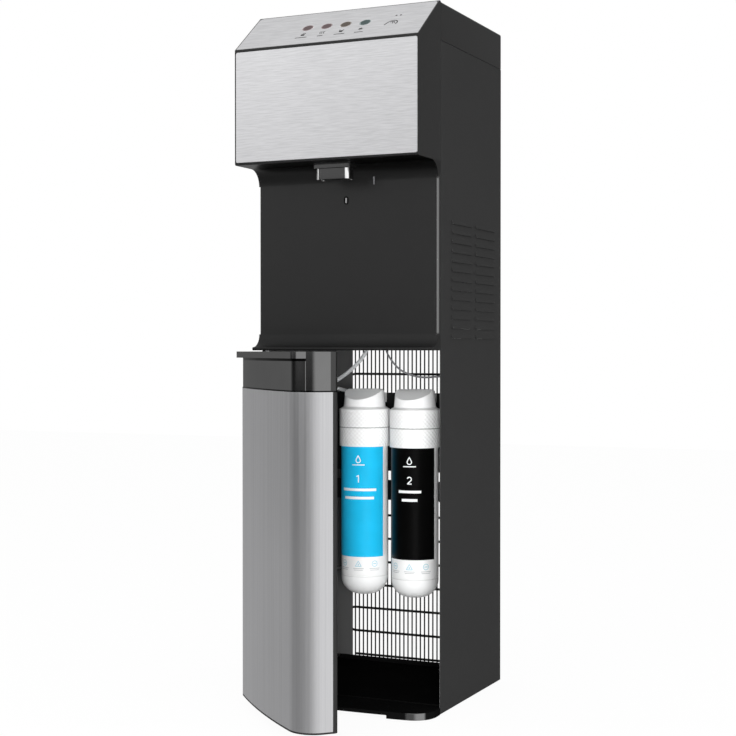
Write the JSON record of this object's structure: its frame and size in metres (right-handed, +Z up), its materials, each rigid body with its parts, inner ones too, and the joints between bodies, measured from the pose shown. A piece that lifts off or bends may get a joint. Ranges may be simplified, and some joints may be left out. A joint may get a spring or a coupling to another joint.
{
  "type": "point-of-use water cooler",
  "caption": "Tall free-standing water cooler with a dispensing bay, sloping touch-free controls, a bowed filter door carrying a drip tray, and twist-off filter cartridges.",
  "frame": {"origin": "on the floor under the middle of the cabinet footprint", "axes": "+Z up, +X to the right of someone facing the front, +Y towards the back"},
  "size_m": [0.3211, 0.5146, 1.054],
  "materials": {
    "cabinet_black": "satin",
    "fascia_black": "satin",
    "gloss_black": "gloss",
    "soft_black": "matte",
    "head_steel": "satin",
    "door_steel": "satin",
    "window_red": "gloss",
    "window_tan": "gloss",
    "window_teal": "gloss",
    "sensor_dark": "gloss",
    "lens_clear": "gloss",
    "plated_steel": "satin",
    "wire_black": "satin",
    "bright_steel": "satin",
    "white_plastic": "satin",
    "label_blue": "satin",
    "label_black": "satin",
    "rotor_blue": "matte",
    "tube_grey": "satin",
    "copper": "satin",
    "line_grey": "satin",
    "stainless": "satin",
    "heater_metal": "satin",
    "foam_white": "matte",
    "compressor_black": "satin",
    "grommet_rubber": "matte",
    "board_green": "satin",
    "valve_grey": "satin",
    "rocker_red": "gloss",
    "rocker_blue": "gloss",
    "magnet_brown": "matte"
  },
  "bodies": {
    "cabinet": {"base_plinth": "gloss_black", "floor_pan": "gloss_black", "side_panel_left": "cabinet_black", "side_panel_right": "cabinet_black", "condenser_coil": "wire_black", "condenser_wires": "wire_black", "condenser_clips": "wire_black", "rear_screws": "bright_steel", "rear_cover": "cabinet_black", "mid_deck": "plated_steel", "tank_shelf": "plated_steel", "top_cover": "fascia_black", "front_fascia": "fascia_black", "head_panel": "head_steel", "control_panel": "head_steel", "unlock_window": "window_red", "hot_window": "window_red", "room_window": "window_tan", "cold_window": "window_teal", "hand_sensor": "sensor_dark", "nozzle_collar": "gloss_black", "nozzle_spout": "gloss_black", "outlet_nozzles": "white_plastic", "cup_sensor": "sensor_dark", "bay_light_lens": "lens_clear", "control_board": "board_green", "dispense_valves": "valve_grey", "cold_tank": "stainless", "foam_jacket": "foam_white", "evaporator_coil": "copper", "hot_tank": "stainless", "heater_band": "heater_metal", "compressor": "compressor_black", "compressor_grommets": "grommet_rubber", "filter_drier": "copper", "filter_bracket": "wire_black", "filter_head_1": "white_plastic", "filter_head_2": "white_plastic", "water_tubes": "tube_grey", "condenser_line": "line_grey", "water_inlet": "white_plastic", "drain_plug": "white_plastic", "power_inlet": "soft_black", "switch_bezel": "soft_black", "hinge_pins": "bright_steel"},
    "door": {"door_skin": "door_steel", "door_liner": "soft_black", "door_top_cap": "gloss_black", "door_bottom_cap": "soft_black", "door_magnet": "magnet_brown"},
    "drip_tray": {"drip_tray": "gloss_black"},
    "drip_grate": {"drip_grate": "soft_black"},
    "filter_rotor_1": {"filter_rotor_1": "rotor_blue"},
    "filter_rotor_2": {"filter_rotor_2": "rotor_blue"},
    "cartridge_1": {"filter_cartridge_1": "white_plastic", "filter_label_1": "label_blue"},
    "cartridge_2": {"filter_cartridge_2": "white_plastic", "filter_label_2": "label_black"},
    "hot_rocker": {"hot_rocker": "rocker_red"},
    "cold_rocker": {"cold_rocker": "rocker_blue"}
  },
  "joints": [
    {"name": "door_hinge", "type": "hinge", "parent": "cabinet", "child": "door", "pos_m": [-0.1305, -0.1046, 0.275], "axis": [0, 0, -1], "range_deg": [-44.3, 45]},
    {"name": "tray_pull", "type": "slide", "parent": "door", "child": "drip_tray", "axis": [-0.6984, -0.7157, 0], "range_m": [0, 0.07]},
    {"name": "grate_lift", "type": "slide", "parent": "drip_tray", "child": "drip_grate", "axis": [0, 0, 1], "range_m": [0, 0.04]},
    {"name": "filter_1_turn", "type": "hinge", "parent": "cabinet", "child": "filter_rotor_1", "pos_m": [-0.0445, 0.064, 0.436], "axis": [0, 0, 1], "range_deg": [0, 90]},
    {"name": "filter_1_drop", "type": "slide", "parent": "filter_rotor_1", "child": "cartridge_1", "axis": [0, 0, -1], "range_m": [0, 0.08]},
    {"name": "filter_2_turn", "type": "hinge", "parent": "cabinet", "child": "filter_rotor_2", "pos_m": [0.0445, 0.064, 0.436], "axis": [0, 0, 1], "range_deg": [0, 90]},
    {"name": "filter_2_drop", "type": "slide", "parent": "filter_rotor_2", "child": "cartridge_2", "axis": [0, 0, -1], "range_m": [0, 0.08]},
    {"name": "hot_rocker_tilt", "type": "hinge", "parent": "cabinet", "child": "hot_rocker", "pos_m": [0.055, 0.172, 0.722], "axis": [1, 0, 0], "range_deg": [-16, 0]},
    {"name": "cold_rocker_tilt", "type": "hinge", "parent": "cabinet", "child": "cold_rocker", "pos_m": [0.085, 0.172, 0.722], "axis": [1, 0, 0], "range_deg": [-16, 0]}
  ]
}
